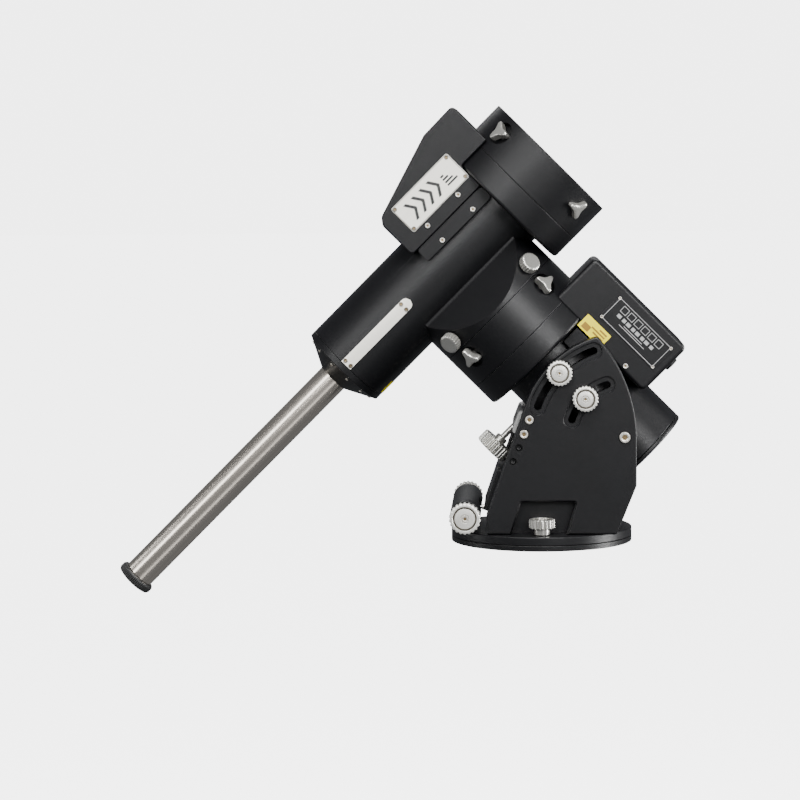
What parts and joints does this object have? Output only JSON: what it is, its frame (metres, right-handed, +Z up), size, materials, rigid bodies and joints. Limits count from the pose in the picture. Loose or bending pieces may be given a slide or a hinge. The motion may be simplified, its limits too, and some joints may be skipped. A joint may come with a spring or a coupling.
{
  "type": "star tracker mount",
  "caption": "Black German equatorial telescope mount with curved-slot altitude cheeks, knurled clamp knobs, geared polar and declination axes and a long counterweight bar.",
  "frame": {"origin": "centre of the flat underside of the base plate, on the azimuth axis", "axes": "+Z up along the azimuth axis; the polar axis rises towards -X; the cheeks' outer faces look towards -Y and +Y"},
  "size_m": [0.73, 0.238, 0.6284],
  "materials": {
    "black_aluminium": "satin black anodised",
    "bare_aluminium": "satin turned and knurled",
    "steel": "brushed stainless",
    "motor_steel": "black coated",
    "bronze": "machined",
    "black_plastic": "matte",
    "belt_rubber": "matte"
  },
  "bodies": {
    "base": {"base_plate": "black_aluminium", "azimuth_post": "steel"},
    "azimuth": {"turntable": "black_aluminium", "azimuth_block": "bare_aluminium", "altitude_crossbar": "bare_aluminium", "cheek_near": "black_aluminium", "cheek_far": "black_aluminium", "pivot_bolt_near": "steel", "pivot_bolt_far": "steel"},
    "altitude": {"polar_housing": "black_aluminium", "polar_end_cap": "black_aluminium", "ra_wheel_housing": "black_aluminium", "ra_drive_box": "black_aluminium", "ra_nameplate": "black_aluminium", "ra_motor": "motor_steel", "ra_worm": "steel", "ra_belt": "belt_rubber", "ra_worm_wheel": "bronze", "ra_bearing_lower": "steel", "ra_bearing_upper": "steel"},
    "altitude_screw": {"altitude_screw": "bare_aluminium"},
    "right_ascension": {"ra_shaft": "steel", "ra_clutch_ring": "black_aluminium", "dec_housing": "black_aluminium", "dec_drive_box": "black_aluminium", "dec_motor": "motor_steel", "dec_worm": "steel", "dec_belt": "belt_rubber", "dec_wheel_housing": "black_aluminium", "dec_end_cone": "black_aluminium", "counterweight_bar": "steel", "bar_stop": "black_plastic", "dec_worm_wheel": "bronze", "dec_bearing_back": "steel", "dec_bearing_front": "steel"},
    "declination": {"dec_shaft": "steel", "saddle_flange": "black_aluminium"},
    "azimuth_screw_near": {"azimuth_screw_near": "bare_aluminium"},
    "azimuth_lock_near": {"azimuth_lock_near": "bare_aluminium"},
    "altitude_clamp_near_upper": {"altitude_clamp_near_upper": "bare_aluminium"},
    "altitude_clamp_near_lower": {"altitude_clamp_near_lower": "bare_aluminium"},
    "azimuth_screw_far": {"azimuth_screw_far": "bare_aluminium"},
    "azimuth_lock_far": {"azimuth_lock_far": "bare_aluminium"},
    "altitude_clamp_far_upper": {"altitude_clamp_far_upper": "bare_aluminium"},
    "altitude_clamp_far_lower": {"altitude_clamp_far_lower": "bare_aluminium"},
    "ra_clutch_knob_far_left": {"ra_clutch_knob_far_left": "bare_aluminium"},
    "ra_thumb_knob_far_left": {"ra_thumb_knob_far_left": "bare_aluminium"},
    "dec_clutch_knob_far_left": {"dec_clutch_knob_far_left": "bare_aluminium"},
    "ra_clutch_knob_near_left": {"ra_clutch_knob_near_left": "bare_aluminium"},
    "ra_thumb_knob_near_left": {"ra_thumb_knob_near_left": "bare_aluminium"},
    "dec_clutch_knob_near_left": {"dec_clutch_knob_near_left": "bare_aluminium"},
    "ra_clutch_knob_near_right": {"ra_clutch_knob_near_right": "bare_aluminium"},
    "ra_thumb_knob_near_right": {"ra_thumb_knob_near_right": "bare_aluminium"},
    "dec_clutch_knob_near_right": {"dec_clutch_knob_near_right": "bare_aluminium"},
    "ra_clutch_knob_far_right": {"ra_clutch_knob_far_right": "bare_aluminium"},
    "ra_thumb_knob_far_right": {"ra_thumb_knob_far_right": "bare_aluminium"},
    "dec_clutch_knob_far_right": {"dec_clutch_knob_far_right": "bare_aluminium"}
  },
  "joints": [
    {"name": "azimuth_turn", "type": "hinge", "parent": "base", "child": "azimuth", "pos_m": [0, 0, 0], "axis": [0, 0, 1], "range_deg": [-7.5, 7.5]},
    {"name": "altitude_turn", "type": "hinge", "parent": "azimuth", "child": "altitude", "pos_m": [0.1046, 0, 0.1418], "axis": [0, 1, 0], "range_deg": [0, 25]},
    {"name": "altitude_screw_slide", "type": "slide", "parent": "azimuth", "child": "altitude_screw", "axis": [0.7071, 0, 0.7071], "range_m": [0, 0.0415]},
    {"name": "ra_turn", "type": "hinge", "parent": "altitude", "child": "right_ascension", "pos_m": [0.1046, 0, 0.1418], "axis": [-0.7071, 0, 0.7071], "range_deg": [-180, 180]},
    {"name": "dec_turn", "type": "hinge", "parent": "right_ascension", "child": "declination", "pos_m": [-0.11687, 0, 0.36327], "axis": [0.7071, 0, 0.7071], "range_deg": [-180, 180]},
    {"name": "azimuth_screw_near_slide", "type": "slide", "parent": "azimuth", "child": "azimuth_screw_near", "axis": [0, 1, 0], "range_m": [-0.0128, 0.0128]},
    {"name": "azimuth_lock_near_turn", "type": "hinge", "parent": "base", "child": "azimuth_lock_near", "pos_m": [0, -0.095, 0.033], "axis": [0, 0, 1], "range_deg": [0, 360]},
    {"name": "altitude_clamp_near_upper_turn", "type": "hinge", "parent": "altitude", "child": "altitude_clamp_near_upper", "pos_m": [0.02258, -0.098, 0.22382], "axis": [0, -1, 0], "range_deg": [0, 360]},
    {"name": "altitude_clamp_near_lower_turn", "type": "hinge", "parent": "altitude", "child": "altitude_clamp_near_lower", "pos_m": [0.0551, -0.098, 0.1913], "axis": [0, -1, 0], "range_deg": [0, 360]},
    {"name": "azimuth_screw_far_slide", "type": "slide", "parent": "azimuth", "child": "azimuth_screw_far", "axis": [0, 1, 0], "range_m": [-0.0128, 0.0128]},
    {"name": "azimuth_lock_far_turn", "type": "hinge", "parent": "base", "child": "azimuth_lock_far", "pos_m": [0, 0.095, 0.033], "axis": [0, 0, 1], "range_deg": [0, 360]},
    {"name": "altitude_clamp_far_upper_turn", "type": "hinge", "parent": "altitude", "child": "altitude_clamp_far_upper", "pos_m": [0.02258, 0.098, 0.22382], "axis": [0, 1, 0], "range_deg": [0, 360]},
    {"name": "altitude_clamp_far_lower_turn", "type": "hinge", "parent": "altitude", "child": "altitude_clamp_far_lower", "pos_m": [0.0551, 0.098, 0.1913], "axis": [0, 1, 0], "range_deg": [0, 360]},
    {"name": "ra_clutch_knob_far_left_turn", "type": "hinge", "parent": "right_ascension", "child": "ra_clutch_knob_far_left", "pos_m": [-0.08677, 0.06364, 0.24317], "axis": [-0.5, 0.7071, -0.5], "range_deg": [0, 360]},
    {"name": "ra_thumb_knob_far_left_turn", "type": "hinge", "parent": "right_ascension", "child": "ra_thumb_knob_far_left", "pos_m": [-0.1134, 0.0693, 0.2618], "axis": [-0.5, 0.7071, -0.5], "range_deg": [0, 360]},
    {"name": "dec_clutch_knob_far_left_turn", "type": "hinge", "parent": "declination", "child": "dec_clutch_knob_far_left", "pos_m": [-0.04867, 0.06505, 0.52346], "axis": [-0.5, 0.7071, 0.5], "range_deg": [0, 360]},
    {"name": "ra_clutch_knob_near_left_turn", "type": "hinge", "parent": "right_ascension", "child": "ra_clutch_knob_near_left", "pos_m": [-0.08677, -0.06364, 0.24317], "axis": [-0.5, -0.7071, -0.5], "range_deg": [0, 360]},
    {"name": "ra_thumb_knob_near_left_turn", "type": "hinge", "parent": "right_ascension", "child": "ra_thumb_knob_near_left", "pos_m": [-0.1134, -0.0693, 0.2618], "axis": [-0.5, -0.7071, -0.5], "range_deg": [0, 360]},
    {"name": "dec_clutch_knob_near_left_turn", "type": "hinge", "parent": "declination", "child": "dec_clutch_knob_near_left", "pos_m": [-0.04867, -0.06505, 0.52346], "axis": [-0.5, -0.7071, 0.5], "range_deg": [0, 360]},
    {"name": "ra_clutch_knob_near_right_turn", "type": "hinge", "parent": "right_ascension", "child": "ra_clutch_knob_near_right", "pos_m": [0.00323, -0.06364, 0.33317], "axis": [0.5, -0.7071, 0.5], "range_deg": [0, 360]},
    {"name": "ra_thumb_knob_near_right_turn", "type": "hinge", "parent": "right_ascension", "child": "ra_thumb_knob_near_right", "pos_m": [-0.0154, -0.0693, 0.3598], "axis": [0.5, -0.7071, 0.5], "range_deg": [0, 360]},
    {"name": "dec_clutch_knob_near_right_turn", "type": "hinge", "parent": "declination", "child": "dec_clutch_knob_near_right", "pos_m": [0.04333, -0.06505, 0.43146], "axis": [0.5, -0.7071, -0.5], "range_deg": [0, 360]},
    {"name": "ra_clutch_knob_far_right_turn", "type": "hinge", "parent": "right_ascension", "child": "ra_clutch_knob_far_right", "pos_m": [0.00323, 0.06364, 0.33317], "axis": [0.5, 0.7071, 0.5], "range_deg": [0, 360]},
    {"name": "ra_thumb_knob_far_right_turn", "type": "hinge", "parent": "right_ascension", "child": "ra_thumb_knob_far_right", "pos_m": [-0.0154, 0.0693, 0.3598], "axis": [0.5, 0.7071, 0.5], "range_deg": [0, 360]},
    {"name": "dec_clutch_knob_far_right_turn", "type": "hinge", "parent": "declination", "child": "dec_clutch_knob_far_right", "pos_m": [0.04333, 0.06505, 0.43146], "axis": [0.5, 0.7071, -0.5], "range_deg": [0, 360]}
  ],
  "couplings": [
    {"joint": "altitude_screw_slide", "follows": "altitude_turn", "m_per_rad": 0.0949},
    {"joint": "azimuth_screw_near_slide", "follows": "azimuth_turn", "m_per_rad": 0.097},
    {"joint": "azimuth_screw_far_slide", "follows": "azimuth_turn", "m_per_rad": 0.097}
  ]
}
